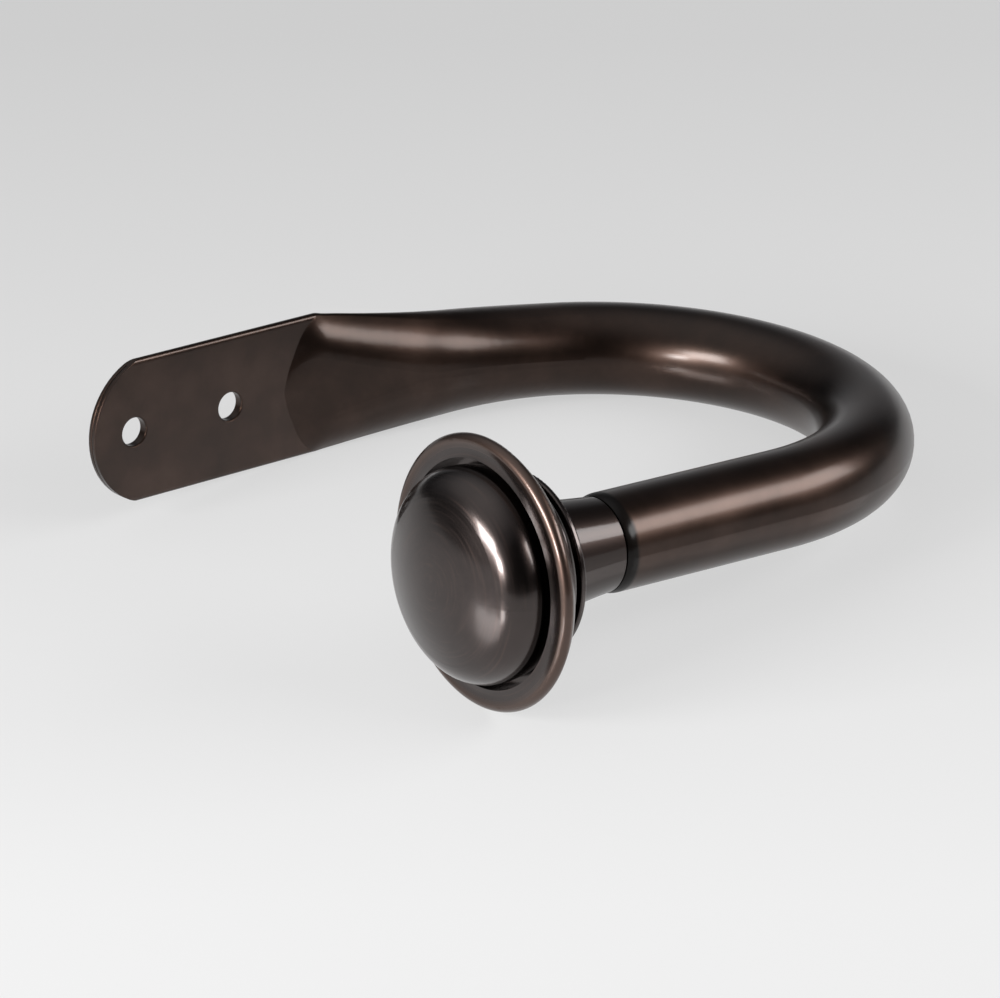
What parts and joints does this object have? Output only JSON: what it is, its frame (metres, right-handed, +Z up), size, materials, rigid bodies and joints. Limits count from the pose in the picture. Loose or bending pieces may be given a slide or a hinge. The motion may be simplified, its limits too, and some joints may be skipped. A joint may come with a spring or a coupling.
{
  "type": "curtain holdback",
  "caption": "Bent tube curtain holdback with a pressed flat wall tab, screw holes and a turned button finial on a flared neck, in dark oil-rubbed bronze.",
  "frame": {"origin": "midway between the screw holes, on the tab's back face, which lies on the wall", "axes": "+X along the tab from its rounded end to the bend, +Y into the wall, +Z up with the hook's plane level"},
  "size_m": [0.1217, 0.1061, 0.0436],
  "materials": {
    "tube_bronze": "satin",
    "finial_bronze": "polished",
    "plain_steel": "turned"
  },
  "bodies": {
    "root": {"hook_tube": "tube_bronze", "finial": "finial_bronze", "tube_plug": "plain_steel", "finial_stud": "plain_steel"}
  },
  "joints": []
}
